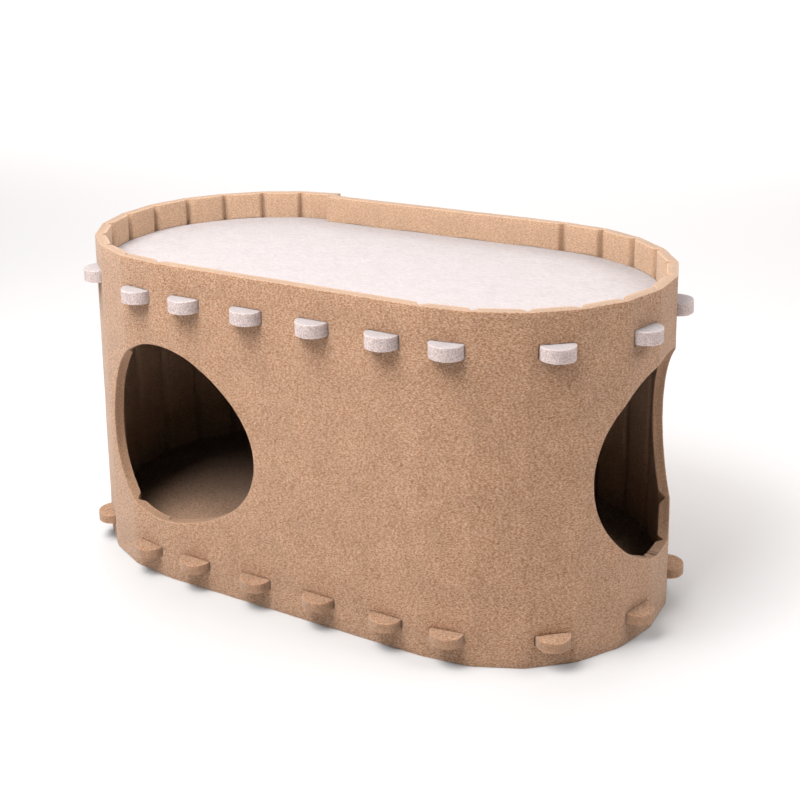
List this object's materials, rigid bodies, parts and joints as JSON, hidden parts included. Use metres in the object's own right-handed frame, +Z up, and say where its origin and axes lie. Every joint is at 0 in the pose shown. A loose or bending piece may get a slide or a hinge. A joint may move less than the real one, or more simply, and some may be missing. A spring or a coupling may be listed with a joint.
{
  "type": "felt cat house with a tray top",
  "caption": "Stadium-shaped cat house of thick felt: a grooved and bent wall with two rounded doorways, and two tabbed felt panels that make its floor and its tray top.",
  "frame": {"origin": "on the ground, under the middle of the outline that the tabs reach", "axes": "+Z up; +X along the long sides, towards the end with the doorway; the front, with the other doorway at its left, faces -Y"},
  "size_m": [0.6196, 0.3553, 0.32],
  "materials": {
    "tan_felt": "pressed heather felt, matt, with soft cut edges",
    "white_felt": "pressed felt, matt, with fine streaky fibres"
  },
  "bodies": {
    "root": {"wall": "tan_felt", "shelf": "white_felt", "floor_panel": "tan_felt"}
  },
  "joints": []
}
